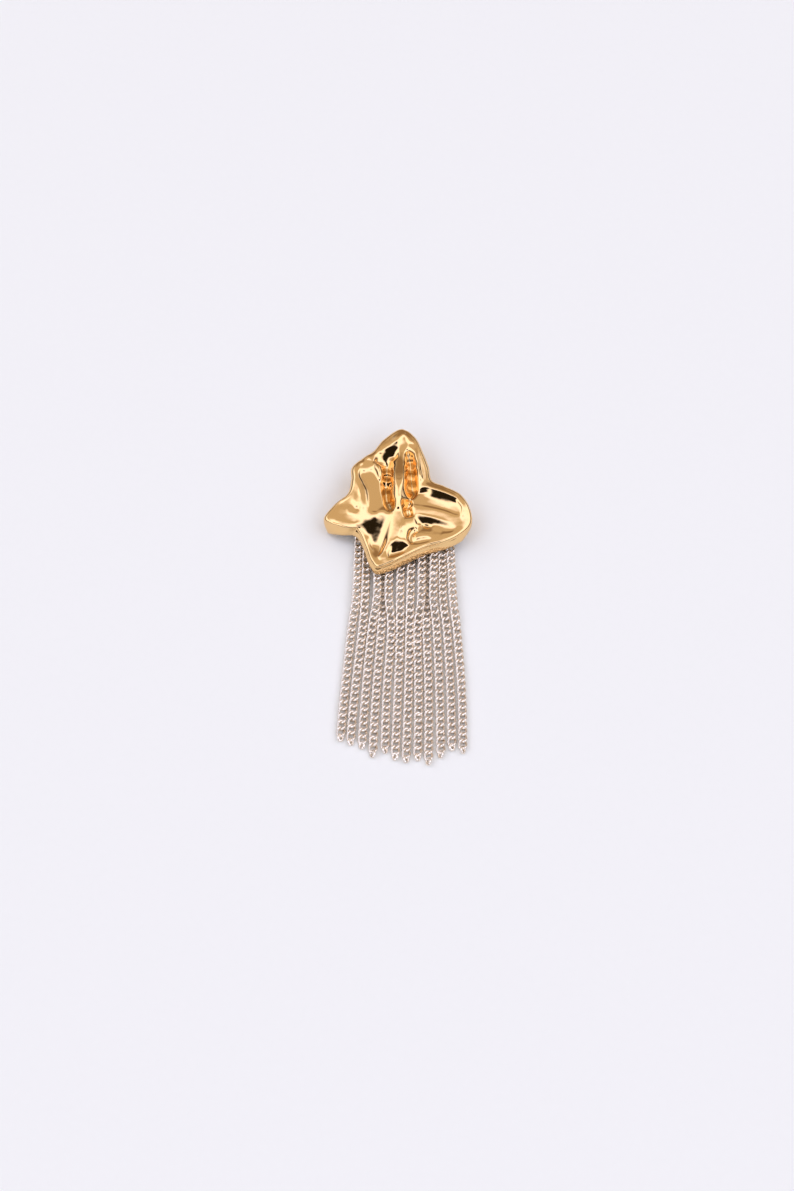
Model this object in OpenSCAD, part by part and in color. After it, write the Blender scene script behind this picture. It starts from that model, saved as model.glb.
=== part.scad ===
// Brooch: a folded, five-lobed gold head, hollow at the back, with a fringe of twelve fine chains.
// It lies on its back rim. X runs across the head, Y towards its top lobe and Z out of its face.
// The origin is under the middle of the whole brooch, on the surface that it rests on.

/* [Head] */
// Width of the head over its left and right lobes
head_w = 24.2; // [22:0.1:26]
// Length of the head from the bottom tip to the top lobe
head_l = 26; // [24:0.1:28]
// Middle height of the folded face above the resting surface
face_z = 4.7; // [4.6:0.1:5]
// Depth of the folds, as a share of the table's
fold_scale = 1; // [0.8:0.05:1.05]
// Height of the face's deepest valleys
valley_z = 3.6; // [3.5:0.05:3.8]
// Thickness of the cast wall under the deepest valleys
head_wall = 0.9; // [0.8:0.05:1.1]
// Radius of the rounded edge round the face, away from the chains
edge_r = 0.9; // [0.6:0.1:1.1]
// Radius of the edge on the chain side
near_edge_r = 0.4; // [0.3:0.05:0.6]
// Amount that the wall on the chain side leans in at the top
near_lean = 0.6; // [0.4:0.1:0.8]
// Amount that the wall on the chain side draws in below
near_foot_in = 0.1; // [0.1:0.05:0.3]
// Amount that the side draws in towards the foot, away from the chains
foot_in = 1.2; // [0.8:0.1:1.4]
// Width of the flat foot that the head rests on
foot_w = 1; // [0.8:0.1:1.2]

/* [Chains] */
// Diameter of the links' wire
wire_d = 0.34; // [0.3:0.01:0.36]
// Width of a link across the chain
link_w = 1.5; // [1.4:0.01:1.54]
// Distance between the middles of neighbouring links
link_pitch = 1.17; // [1.14:0.01:1.2]
// Play between two links that hold each other
link_play = 0.13; // [0.11:0.01:0.16]
// Turn of each link about the chain, to the left and to the right in turn
link_roll = 38; // [34:1:42]
// Width of the plain strands
plain_w = 1.15; // [1:0.05:1.2]
// Height of the plain strands
plain_h = 0.8; // [0.7:0.05:0.82]

/* [Back fittings] */
// Distance of the chain rail from the origin, towards the top lobe
rail_y = 12; // [11.8:0.1:12.2]
// Height of the chain rail's middle
rail_z = 1.9; // [1.8:0.05:1.95]
// Diameter of the chain rail
rail_d = 0.45; // [0.4:0.01:0.46]
// Distance of the pin from the origin, towards the top lobe
pin_y = 15.4; // [15.2:0.1:15.6]
// Length of the bar that carries the pin
pin_bar_l = 10.6; // [10:0.2:10.6]
// Diameter of the needle
needle_d = 0.7; // [0.6:0.05:0.8]
// Height of the needle's middle
needle_z = 0.8; // [0.75:0.05:0.9]

/* [Hidden] */
STRANDS_OF_LINKS = ["strand_01", "strand_03", "strand_05", "strand_06", "strand_08", "strand_10",
    "strand_12"];
NODES = ["head", "chain_rail", "pin_back", "strand_01", "strand_02", "strand_03", "strand_04",
    "strand_05", "strand_06", "strand_07", "strand_08", "strand_09", "strand_10", "strand_11",
    "strand_12"];

// Size at which the tables below are written
DRAWN_W = 24.2;
DRAWN_L = 26;
DRAWN_BASE = 2.6;
// Facets round the head's outline between two of its points, and rings of the face and the hollow
OUTLINE_STEPS = 4;
FACE_RINGS = 24;
EDGE_RINGS = 3;
SIDE_RINGS = 3;
HOLLOW_RINGS = 8;
// Distance between guide points on the outline and on the crests and valleys
RIM_STEP = 0.7;
FOLD_STEP = 0.6;
// Reach of each sweep in which the face is drawn, and the weight at which a sweep fades out
REACHES = [1.6, 0.8, 0.45];
FADE = 0.001;
// Middle height of the face in the tables
FACE_MIDDLE = 4.7;
// Share of the folds' height that the hollow back follows
HOLLOW_SHARE = 0.5;
// Smallest cosine between a ray from the middle and the outline's own normal
RAY_MIN = 0.66;
// Middle of the face, from which its rays run
MIDDLE = [1.4, 13.6];

// Outline of the head, clockwise from the top lobe's tip.
// Columns: across, along, height of the face there, height of the foot,
// share of the near side's steep edge.
OUTLINE = [
    [0.2, 28.5, 4.5, 0, 0],
    [2.5, 26.9, 4.5, 0, 0],
    [3.8, 24.2, 4.5, 0, 0],
    [4.8, 21.6, 4.5, 0, 0],
    [5.4, 19, 4.5, 0, 0],
    [7.6, 17.9, 4.5, 0, 0],
    [10.2, 16.5, 4.5, 0, 0],
    [11.8, 14, 4.4, 0, 0.2],
    [12.1, 11.4, 4.3, 1, 0.3],
    [10.6, 9.1, 4.3, 2.3, 1],
    [8, 7.5, 4.2, 2.3, 1],
    [4.9, 6.4, 4.2, 2.3, 1],
    [1.9, 4.8, 4.2, 2.3, 1],
    [-0.8, 3.3, 4.1, 2.3, 1],
    [-3.2, 2.6, 4, 2.3, 1],
    [-4.6, 4.2, 4.1, 2.3, 0.8],
    [-5.6, 7, 4.2, 2.3, 0.8],
    [-6.9, 9.3, 4.2, 2.3, 1],
    [-9.2, 9.6, 4.1, 2.1, 1],
    [-11.4, 10.6, 3.9, 0.8, 1],
    [-12.1, 12, 3.9, 0, 0.2],
    [-10.4, 14.4, 4.1, 0, 0],
    [-8.3, 16.2, 4.6, 0, 0],
    [-7.8, 18.6, 4.7, 0, 0],
    [-7.8, 20.8, 4.7, 0, 0],
    [-6.3, 22.6, 4.7, 0, 0],
    [-4.4, 24.2, 4.6, 0, 0],
    [-2.6, 26.7, 4.5, 0, 0]
];

// Crests and valleys that the face is drawn over, each a smooth line through its stations.
// Columns of a station: across, along, height.
FOLD_LINES = [
    // Top lobe, left rim
    [[0.2, 27.4, 5.25], [-1.2, 26.4, 5.05], [-2.6, 24.8, 4.9], [-4.2, 23.4, 5], [-5.4, 22.7, 5.1]],
    // Top lobe, left brink
    [
        [-0.3, 26.6, 5.45], [-1.3, 25.4, 5.25], [-2.6, 24.4, 4.95], [-3.9, 23.3, 4.85],
        [-4.5, 22.6, 5.1]
    ],
    // Top slope, high
    [[-1.2, 25, 5.1], [-0.7, 25, 5.1]],
    // Top slope, middle
    [[-2.5, 24, 4.75], [-1.5, 24, 4.7], [-0.8, 24, 4.7]],
    // Top slope, low
    [[-3.5, 23.1, 4.5], [-2.8, 23, 4.35], [-2, 23, 4.3], [-0.9, 23, 4.3]],
    // Top slope, foot
    [[-3.4, 22.1, 4.3], [-2.4, 22.1, 4]],
    // Upper left rim
    [
        [-6.4, 21.8, 5.2], [-7, 20.6, 5.2], [-7.1, 19, 5.2], [-7, 17.4, 5.1], [-7.4, 15.9, 4.9],
        [-8.3, 14.4, 4.6]
    ],
    // Right rim
    [
        [1.5, 26.8, 5.18], [2.9, 25.1, 5.2], [3.7, 21.9, 5.2], [4.1, 19.8, 5.2], [5, 18.2, 5.1],
        [6.8, 17.3, 5.2], [9.4, 16.1, 5.1], [10.9, 14.8, 5], [11.3, 12.8, 4.7], [11, 11.4, 4.5]
    ],
    // Right brink
    [
        [2.1, 24.9, 5.2], [2.8, 21.9, 5.45], [3, 19.4, 5.5], [3.7, 17.7, 5.3], [5.4, 17.1, 5.4],
        [7.4, 16.6, 5.4], [9, 15.8, 5.3]
    ],
    // Right slope, high
    [[4.4, 16.6, 4.9], [5.4, 16.4, 5.08], [7.4, 15.9, 5.1], [8.8, 15.2, 4.9]],
    // Right slope, low
    [[4.4, 15.9, 4.8], [5.4, 15.7, 4.82], [7.4, 15.2, 4.85], [8.6, 14.7, 4.81]],
    // Low rim
    [
        [9.9, 9.8, 4.4], [7.7, 8.4, 4.4], [5.1, 7.3, 4.4], [3.1, 6.5, 4.4], [1.6, 5.6, 4.4],
        [0.2, 4.7, 4.4], [-1.2, 4, 4.3], [-2.7, 3.5, 4.2], [-3.6, 4.6, 4], [-4.4, 6.2, 3.9],
        [-5, 8, 3.95], [-6.1, 9.5, 4.2], [-7.6, 10.2, 4.4], [-9.2, 10.6, 4.35]
    ],
    // Left crest
    [[-11, 11.9, 4.1], [-9.8, 12.3, 4.3], [-8.8, 12.7, 4.5]],
    // Left valley
    [
        [-1.9, 21.4, 3.7], [-2.15, 20.6, 3.78], [-1.75, 19.8, 3.62], [-2.1, 18.8, 3.78],
        [-1.7, 17.8, 3.7], [-1.95, 16.6, 3.9], [-1.5, 15.2, 4.1], [-1.4, 13.8, 4.5]
    ],
    // Finger
    [
        [0.4, 26.2, 5.2], [0.5, 24.6, 5], [0.1, 22.6, 5.2], [0, 20.6, 5.7], [0, 18.5, 6.1],
        [0, 17, 6.2], [0, 15.4, 6], [0.1, 13.8, 5.7]
    ],
    // Finger, left side
    [[-0.6, 22.6, 5], [-0.9, 20.6, 5.4], [-0.9, 18.5, 5.8], [-0.8, 15.4, 5.6]],
    // Finger, right side
    [[0.8, 22.6, 5], [0.95, 20.6, 5.4], [0.95, 18.5, 5.8], [0.8, 15.6, 5.6]],
    // Right valley
    [
        [1.7, 23.4, 4.2], [1.7, 22.5, 3.75], [2.1, 21.7, 3.8], [1.75, 20.9, 3.62],
        [2.15, 20.1, 3.75], [1.8, 19.2, 3.65], [2.1, 18.3, 3.8], [1.75, 17.3, 3.95],
        [1.8, 16.2, 4.5]
    ],
    // Dimple
    [[-5.7, 21.8, 5], [-5.1, 22, 5]],
    // Dimple ridge
    [[-6.2, 20.9, 5.05], [-5.2, 20.9, 4.98], [-4.3, 21.3, 5.1]],
    // Terrace, left side
    [[-6, 19.6, 4.8], [-5.5, 18.3, 4.8], [-4.7, 16.6, 4.8], [-4.4, 15, 4.8], [-4.3, 13.4, 4.85]],
    // Terrace, middle
    [
        [-5.1, 19.8, 4.8], [-4.5, 18.4, 4.8], [-3.9, 16.7, 4.8], [-3.7, 14.9, 4.8],
        [-3.7, 13.4, 4.85]
    ],
    // Terrace, right side
    [[-4.3, 20, 4.85], [-3.6, 18.6, 4.85], [-3.1, 16.8, 4.8], [-3, 14.8, 4.8], [-3, 13.4, 4.85]],
    // Terrace lip
    [[-3.6, 21.4, 5.3], [-3.2, 20.4, 5.4], [-2.8, 19.1, 5.1]],
    // Left bump
    [[-6.6, 18, 5.2], [-5.7, 16.4, 5.25], [-5.5, 15, 5.25], [-5.4, 13.8, 5.15], [-5.1, 12.9, 4.95]],
    // Left bump, outer side
    [[-7, 15.4, 5], [-7, 14, 4.95], [-7.6, 12.9, 4.7]],
    // Bump pits
    [[-7.5, 14.1, 4.72], [-7, 13.3, 4.62]],
    // Left bump, low side
    [[-6.6, 12.4, 4.75], [-5.4, 12.1, 4.8], [-4.5, 12.2, 4.85]],
    // Basin top
    [[-8.3, 11.7, 4.5], [-6.8, 11.5, 4.55], [-5.4, 11.2, 4.6]],
    // Basin floor
    [[-6.2, 10.7, 4.5], [-5.3, 9.9, 4.18], [-4.9, 9, 3.9]],
    // Long slope, left side
    [[-3.8, 12, 4.9], [-4.5, 10.8, 4.5], [-4.3, 9.6, 4.08], [-4, 8.5, 3.73], [-3.8, 7.4, 3.45]],
    // Long slope, middle
    [
        [-2.6, 12.8, 5], [-3, 11.3, 4.65], [-3.3, 9.9, 4.2], [-3.4, 8.4, 3.72], [-3.3, 7.2, 3.45],
        [-3.1, 6, 3.65]
    ],
    // Long slope, right side
    [[-1.9, 12.2, 4.95], [-2.1, 11, 4.6], [-2.4, 9.7, 4.2], [-2.7, 8.5, 3.83], [-2.8, 7.4, 3.55]],
    // Bottom ridge
    [[0.2, 12.6, 5.4], [-0.4, 10.4, 5.1], [-1, 8.2, 4.75], [-1.6, 6.3, 4.5], [-2.2, 5, 4.35]],
    // Upper pit
    [[1.1, 14.3, 4.4]],
    // Lower pit
    [[1.7, 12.9, 4.2]],
    // Middle ridge
    [[2.4, 11.4, 4.9], [1.5, 9.9, 5], [0.9, 8.4, 4.8]],
    // Right flat
    [[3.2, 15, 4.8], [5.2, 15, 4.7], [7.6, 14.5, 4.7], [9.4, 13.8, 4.65]],
    // Right ridge
    [[2.8, 13.3, 4.85], [4.5, 13.1, 4.75], [6.5, 12.7, 4.65], [8.5, 12, 4.6], [9.9, 11.3, 4.5]],
    // Right ridge, low side
    [[3.4, 12.1, 4.65], [6.4, 11.6, 4.55], [8.8, 10.9, 4.45]],
    // Right basin, top
    [[3.4, 11.7, 4.4], [5, 11.5, 4.35], [6.5, 11.15, 4.3], [8.6, 10.5, 4.3]],
    // Right basin
    [[3.7, 10.3, 4.35], [6.4, 10, 4.3]],
    // Oval pit
    [[4.5, 10.7, 3.9], [4.9, 10.6, 3.9]],
    // Narrow pit
    [[2.4, 9.4, 4.1], [2.3, 8.4, 4.1]],
    // Small ridge
    [[2.9, 8.6, 4.5], [4.4, 8.9, 4.5], [6.2, 9, 4.4]],
    // Small pits
    [[3.4, 8, 4.34], [4.8, 8.3, 4.34]],
    // Low slope, top
    [[-0.3, 7.3, 4.7], [1.2, 7.5, 4.65]],
    // Low slope, middle
    [[-0.6, 6.5, 4.35], [0.9, 6.8, 4.3]],
    // Low slope, foot
    [[-0.9, 5.7, 4], [0.6, 6.1, 4]]
];

// Strands of the fringe, from left to right.
// Columns: place across at the rail, at the end of the rise and at two stations further down,
// place across and along of the free end, height of the middle where the strand leaves the head.
STRANDS = [
    [-6.2, -6.3, -6.8, -7.5, -7.9, -25.5, 0.9],
    [-4.8, -4.85, -5.1, -5.9, -6.3, -26.2, 1.0],
    [-3.0, -2.95, -3.6, -4.2, -4.5, -26.7, 1.5],
    [-2.05, -2.05, -2.1, -2.55, -2.8, -28.1, 0.4],
    [-1.1, -1.05, -0.5, -0.9, -0.9, -27.3, 1.5],
    [0.7, 0.75, 0.9, 0.85, 0.7, -28.4, 1.3],
    [2.4, 2.4, 2.4, 2.5, 2.4, -28.8, 1.2],
    [4.1, 4.15, 3.7, 4.1, 4.2, -28.3, 1.5],
    [5.05, 5.05, 5.15, 5.7, 5.9, -29.0, 0.4],
    [6.0, 6.1, 6.75, 7.4, 7.8, -27.8, 1.5],
    [7.25, 7.65, 8.4, 9.15, 9.5, -26.5, 1.0],
    [8.6, 9.3, 10, 10.9, 11.2, -27.0, 0.9]
];
// Places along of the stations, the end of the rise first
STATION_Y = [-1, -6.2, -17];
// Strands that leave the head lower than this start below their neighbours
UNDER_MAX_Z = 0.5;
// Height at which such a strand passes under the rail
UNDER_Z = 1;
// Place along where a strand has come down from the rail
LEAVE_Y = 9.8;
ROUTE_STEPS = 8;
PLAIN_RINGS = 16;
PLAIN_SIDES = 8;
// Distance to each side over which a plain strand's direction is taken
PLAIN_REACH = 0.5;

LINK_MID_W = link_w - wire_d;
LINK_STRAIGHT = link_pitch + link_play + 2 * wire_d - link_w;
LINK_HALF = LINK_STRAIGHT / 2 + link_w / 2;
LINK_FLOOR = LINK_MID_W / 2 * sin(link_roll) + wire_d / 2;
// Distance of the first link's middle from the rail, so that its end hangs on the rail
FIRST_DROP = LINK_HALF - wire_d - rail_d / 2 - link_play;
// Turn of the first link about the chain, so that it stands round the rail
FIRST_ROLL = 180 - 3 * link_roll;

GOLD = [0.93, 0.71, 0.33];
SILVER = [0.80, 0.76, 0.72];
BACK_GOLD = [0.80, 0.62, 0.30];

function sum(v) = v * [for (i = v) 1];
function clamp(v, low, high) = max(low, min(high, v));

// A table row's place at the head's chosen size
function placed(p) = [
    p.x * head_w / DRAWN_W,
    (p.y - DRAWN_BASE) * head_l / DRAWN_L + DRAWN_BASE
];

// Value at share t between b and c of a smooth curve through a, b, c and d
function glide(a, b, c, d, t) =
    0.5 * (2 * b + (c - a) * t + (2 * a - 5 * b + 4 * c - d) * t * t
        + (3 * b - a - 3 * c + d) * t * t * t);

// Points about step apart on a smooth line through rows, which closes if closed is true
function smooth_line(rows, step, closed) =
    let (n = len(rows), parts_of = closed ? n : n - 1)
        [for (i = [0 : parts_of - 1])
            let (
                a = rows[closed ? (i + n - 1) % n : max(i - 1, 0)],
                b = rows[i],
                c = rows[(i + 1) % n],
                d = rows[closed ? (i + 2) % n : min(i + 2, n - 1)],
                parts = max(1, round(norm([c.x - b.x, c.y - b.y]) / step))
            )
                for (k = [0 : parts - 1]) glide(a, b, c, d, k / parts),
            if (!closed) rows[n - 1]
        ];

// Guide points of the face: places, and heights over its middle height
GUIDE = concat(
    smooth_line([for (row = OUTLINE) [row.x, row.y, row.z]], RIM_STEP, true),
    [for (line = FOLD_LINES) each smooth_line(line, FOLD_STEP, false)]
);
PLACES = [for (g = GUIDE) placed(g)];
HEIGHTS = [for (g = GUIDE) (g.z - FACE_MIDDLE) * fold_scale];

// Square of the distance of point p from each guide point
function far_from(p) = [for (g = PLACES) (g - p) * (g - p)];

// Mean of what is missing at the guide points near a point, given its squared distances
function sweep(far, missing, reach) =
    let (weight = [for (d = far) exp(-d / reach / reach)])
        weight * missing / (sum(weight) + FADE);

// What each sweep finds missing at the guide points
function sweeps(missing, i = 0) =
    i == len(REACHES) - 1 ? [missing] :
    concat([missing], sweeps([
        for (k = [0 : len(PLACES) - 1])
            missing[k] - sweep(far_from(PLACES[k]), missing, REACHES[i])
    ], i + 1));

// Height of the face at point p, drawn in sweeps of narrowing reach
function face_height(p, missing) =
    let (far = far_from(p))
        face_z + sum([for (i = [0 : len(REACHES) - 1]) sweep(far, missing[i], REACHES[i])]);

// Underside of the head's hollow, where the face has height z
function hollow_height(z) = valley_z - head_wall + HOLLOW_SHARE * (z - valley_z);

function outline_row(i) = OUTLINE[(i + len(OUTLINE)) % len(OUTLINE)];
function outline_at(i, t) =
    glide(outline_row(i - 1), outline_row(i), outline_row(i + 1), outline_row(i + 2), t);
OUTLINE_RUN = [
    for (i = [0 : len(OUTLINE) - 1], k = [0 : OUTLINE_STEPS - 1])
        let (row = outline_at(i, k / OUTLINE_STEPS), p = placed(row))
            [p.x, p.y, max(row[3], 0), clamp(row[4], 0, 1)]
];
RAY_COUNT = len(OUTLINE_RUN);
// Rays of the face: across and along of the outline, foot height, near share, length to the middle
RAYS = [
    for (i = [0 : RAY_COUNT - 1])
        let (
            here = OUTLINE_RUN[i],
            before = OUTLINE_RUN[(i + RAY_COUNT - 1) % RAY_COUNT],
            after = OUTLINE_RUN[(i + 1) % RAY_COUNT],
            ray = [here.x - MIDDLE.x, here.y - MIDDLE.y],
            side = [before.y - after.y, after.x - before.x]
        ) [here.x, here.y, here[2], here[3], max(RAY_MIN * norm(ray), side * ray / norm(side))]
];

// Value between far and near for a ray's share of the near side
function by_side(r, far, near) = far + r[3] * (near - far);

// Point on ray r at distance d inside the outline
function inside(r, d) = MIDDLE + ([r.x, r.y] - MIDDLE) * (1 - d / r[4]);

function brink_in(r) = by_side(r, edge_r, near_edge_r) + by_side(r, 0, near_lean);

function face_ring(share, missing) = [
    for (r = RAYS)
        let (p = inside(r, brink_in(r) + (1 - share) * (r[4] - brink_in(r))))
            [p.x, p.y, face_height(p, missing)]
];

// Ring round the rounded edge, brink being the face's outermost ring
function edge_ring(brink, turn) = [
    for (i = [0 : RAY_COUNT - 1])
        let (
            r = RAYS[i],
            radius = by_side(r, edge_r, near_edge_r),
            p = inside(r, by_side(r, 0, near_lean) + radius * (1 - sin(turn)))
        ) [p.x, p.y, brink[i].z - radius * (1 - cos(turn))]
];

function side_ring(brink, share) = [
    for (i = [0 : RAY_COUNT - 1])
        let (
            r = RAYS[i],
            top = brink[i].z - by_side(r, edge_r, near_edge_r),
            lean = by_side(r, 0, near_lean) * pow(1 - share, 2),
            p = inside(r, lean + by_side(r, foot_in, near_foot_in) * share * share)
        ) [p.x, p.y, top + (r[2] - top) * share]
];

function foot_inner(r) = by_side(r, foot_in, near_foot_in) + foot_w;

function foot_ring() = [
    for (r = RAYS) let (p = inside(r, foot_inner(r))) [p.x, p.y, r[2]]
];

function hollow_ring(share, missing) = [
    for (r = RAYS)
        let (p = inside(r, foot_inner(r) + (1 - share) * (r[4] - foot_inner(r))))
            [p.x, p.y, hollow_height(face_height(p, missing))]
];

// Faces between rings of points that lie between a first and a last point
function ring_faces(rings, n) = concat(
    [for (i = [0 : n - 1]) [0, 1 + i, 1 + (i + 1) % n]],
    [for (k = [0 : rings - 2], i = [0 : n - 1])
        [1 + k * n + i, 1 + (k + 1) * n + (i + 1) % n, 1 + k * n + (i + 1) % n]],
    [for (k = [0 : rings - 2], i = [0 : n - 1])
        [1 + k * n + i, 1 + (k + 1) * n + i, 1 + (k + 1) * n + (i + 1) % n]],
    [for (i = [0 : n - 1]) [1 + rings * n, 1 + (rings - 1) * n + (i + 1) % n, 1 + (rings - 1) * n + i]]
);

// Cast head: folded face, rounded edge, side, flat foot and hollow back
module head() {
    missing = sweeps(HEIGHTS);
    face = [for (k = [1 : FACE_RINGS]) face_ring(k / FACE_RINGS, missing)];
    brink = face[FACE_RINGS - 1];
    rings = concat(
        face,
        [for (k = [1 : EDGE_RINGS]) edge_ring(brink, 90 * k / EDGE_RINGS)],
        [for (k = [1 : SIDE_RINGS]) side_ring(brink, k / SIDE_RINGS)],
        [foot_ring()],
        [for (k = [0 : HOLLOW_RINGS - 1]) hollow_ring(1 - k / HOLLOW_RINGS, missing)]
    );
    middle_z = face_height(MIDDLE, missing);
    color(GOLD)
        polyhedron(
            points = concat(
                [[MIDDLE.x, MIDDLE.y, middle_z]],
                [for (ring = rings, p = ring) p],
                [[MIDDLE.x, MIDDLE.y, hollow_height(middle_z)]]
            ),
            faces = ring_faces(len(rings), RAY_COUNT),
            convexity = 12
        );
}

// Gap between a fitting's foot and the hollow's ceiling
SEAT_GAP = 0.25;
RAIL_FOOT_D = 0.6;
RAIL_ENDS = [-7.1, 9.5];

// Straight bar with a foot at each end, on which the first links hang
module chain_rail() {
    missing = sweeps(HEIGHTS);
    color(BACK_GOLD) {
        translate([RAIL_ENDS[0], rail_y, rail_z])
            rotate([0, 90, 0])
                cylinder(d = rail_d, h = RAIL_ENDS[1] - RAIL_ENDS[0], $fn = 24);
        for (x = RAIL_ENDS)
            let (
                foot_z = rail_z - rail_d / 2,
                top_z = hollow_height(face_height([x, rail_y], missing)) - SEAT_GAP
            )
                translate([x, rail_y, foot_z])
                    cylinder(d = RAIL_FOOT_D, h = top_z - foot_z, $fn = 24);
    }
}

PIN_BAR_W = 2;
PIN_BAR_T = 0.6;
PIN_TOP = valley_z - head_wall - SEAT_GAP;
PIN_BLOCK_L = 1.6;
BLOCK_UNDER = 0.1;
CATCH_L = 1.2;
CATCH_IN = 0.6;
CATCH_T = 0.35;
CATCH_FLOOR = 0.08;
CATCH_PLAY = 0.14;
NEEDLE_TAPER = 2;
NEEDLE_TIP_D = 0.2;
PIN_X = -0.2;

// Bar pin in one piece: bar, block, needle and open catch
module pin_back() {
    left = PIN_X - pin_bar_l / 2;
    right = PIN_X + pin_bar_l / 2;
    block_z = needle_z - needle_d / 2 - BLOCK_UNDER;
    straight_end = right - NEEDLE_TAPER;
    lip_w = CATCH_T + CATCH_PLAY + needle_d;
    plate_y = pin_y + needle_d / 2 + CATCH_PLAY;
    color(BACK_GOLD) {
        translate([left, pin_y - PIN_BAR_W / 2, PIN_TOP - PIN_BAR_T])
            cube([pin_bar_l, PIN_BAR_W, PIN_BAR_T]);
        translate([left, pin_y - PIN_BAR_W / 2, block_z])
            cube([PIN_BLOCK_L, PIN_BAR_W, PIN_TOP - block_z]);
        translate([left + PIN_BLOCK_L / 2, pin_y, needle_z])
            rotate([0, 90, 0])
                cylinder(d = needle_d, h = straight_end - left - PIN_BLOCK_L / 2, $fn = 24);
        translate([straight_end, pin_y, needle_z])
            rotate([0, 90, 0])
                cylinder(d1 = needle_d, d2 = NEEDLE_TIP_D, h = NEEDLE_TAPER, $fn = 24);
        translate([right - CATCH_L - CATCH_IN, plate_y, CATCH_FLOOR])
            cube([CATCH_L, CATCH_T, PIN_TOP - CATCH_FLOOR]);
        translate([right - CATCH_L - CATCH_IN, plate_y + CATCH_T - lip_w, CATCH_FLOOR])
            cube([CATCH_L, lip_w, CATCH_PLAY]);
    }
}

// Route of a strand's middle from the rail to its free end, low being its height when it lies
function starts_under(s) = s[6] < UNDER_MAX_Z;
function route_points(s, low) =
    let (leave_z = max(s[6], low), mid_x = (s[0] + s[1]) / 2, mid_y = (LEAVE_Y + STATION_Y[0]) / 2)
        [
            [s[0], rail_y, starts_under(s) ? UNDER_Z : rail_z],
            [s[0], LEAVE_Y, leave_z],
            [mid_x, mid_y, leave_z],
            [s[1], STATION_Y[0], leave_z],
            [s[2], STATION_Y[1], low],
            [s[3], STATION_Y[2], low],
            [s[4], s[5], low]
        ];

function route_run(points) =
    let (n = len(points))
        [for (i = [0 : n - 2], k = [0 : ROUTE_STEPS - 1])
            glide(points[max(i - 1, 0)], points[i], points[i + 1], points[min(i + 2, n - 1)],
                k / ROUTE_STEPS),
            points[n - 1]];

// Distance travelled at each point of a run, from point i on
function travelled(run, i = 0, so_far = 0) =
    i == len(run) - 1 ? [so_far] :
    concat([so_far], travelled(run, i + 1, so_far + norm(run[i + 1] - run[i])));

// Point at distance s along a run, low being the least height
function along(run, dist, s, low) =
    let (at = [for (axis = [0 : 2]) lookup(s, [for (i = [0 : len(run) - 1]) [dist[i], run[i][axis]]])])
        [at.x, at.y, max(at.z, low)];

// One oval link along Y, in the plane of X and Y
module link() {
    for (side = [-1, 1]) {
        translate([side * LINK_MID_W / 2, 0, 0])
            rotate([90, 0, 0])
                cylinder(d = wire_d, h = LINK_STRAIGHT, center = true, $fn = 16);
        translate([0, side * LINK_STRAIGHT / 2, 0])
            rotate([0, 0, side > 0 ? 0 : 180])
                rotate_extrude(angle = 180, $fn = 24)
                    translate([LINK_MID_W / 2, 0])
                        circle(d = wire_d, $fn = 16);
    }
}

// Strand of links that hold each other, the first one round the rail
module link_strand(s) {
    run = route_run(route_points(s, LINK_FLOOR));
    dist = travelled(run);
    last = dist[len(dist) - 1] - LINK_HALF;
    count = floor((last - FIRST_DROP) / link_pitch);
    color(SILVER)
        for (i = [0 : count])
            let (
                at = along(run, dist, FIRST_DROP + i * link_pitch, LINK_FLOOR),
                back = along(run, dist, FIRST_DROP + i * link_pitch - LINK_HALF / 2, LINK_FLOOR),
                on = along(run, dist, FIRST_DROP + i * link_pitch + LINK_HALF / 2, LINK_FLOOR),
                way = on - back,
                roll = i == 0 ? FIRST_ROLL : (i % 2 == 0 ? link_roll : -link_roll)
            )
                translate(at)
                    rotate([0, 0, atan2(way.x, -way.y)])
                        rotate([atan2(-way.z, norm([way.x, way.y])), 0, 0])
                            rotate([0, roll, 0])
                                link();
}

// Plain strand: one smooth length with the outer form of a chain
module plain_strand(s) {
    low = plain_h / 2;
    run = route_run(route_points(s, low));
    dist = travelled(run);
    start = starts_under(s) ? 0 : rail_d / 2 + plain_h / 2;
    whole = dist[len(dist) - 1];
    rings = [
        for (k = [0 : PLAIN_RINGS - 1])
            let (
                gone = start + (whole - start) * k / (PLAIN_RINGS - 1),
                at = along(run, dist, gone, low),
                on = along(run, dist, gone + PLAIN_REACH, low),
                back = along(run, dist, gone - PLAIN_REACH, low),
                way = (on - back) / norm(on - back),
                across = [-way.y, way.x, 0] / norm([way.x, way.y]),
                up = cross(way, across)
            )
                [for (j = [0 : PLAIN_SIDES - 1])
                    let (turn = 360 * (j + 0.5) / PLAIN_SIDES)
                        at + across * plain_w / 2 * cos(turn) + up * plain_h / 2 * sin(turn)]
    ];
    color(SILVER)
        polyhedron(
            points = concat(
                [sum_of(rings[0]) / PLAIN_SIDES],
                [for (ring = rings, p = ring) p],
                [sum_of(rings[PLAIN_RINGS - 1]) / PLAIN_SIDES]
            ),
            faces = ring_faces(PLAIN_RINGS, PLAIN_SIDES),
            convexity = 4
        );
}

function sum_of(points, i = 0) = i == len(points) ? [0, 0, 0] : points[i] + sum_of(points, i + 1);

module strand(name) {
    s = STRANDS[search([name], NODES)[0] - 3];
    if (len([for (n = STRANDS_OF_LINKS) if (n == name) n]) > 0)
        link_strand(s);
    else
        plain_strand(s);
}

head();
chain_rail();
pin_back();
strand("strand_01");  // strand_01
strand("strand_02");  // strand_02
strand("strand_03");  // strand_03
strand("strand_04");  // strand_04
strand("strand_05");  // strand_05
strand("strand_06");  // strand_06
strand("strand_07");  // strand_07
strand("strand_08");  // strand_08
strand("strand_09");  // strand_09
strand("strand_10");  // strand_10
strand("strand_11");  // strand_11
strand("strand_12");  // strand_12
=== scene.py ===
import math

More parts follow.
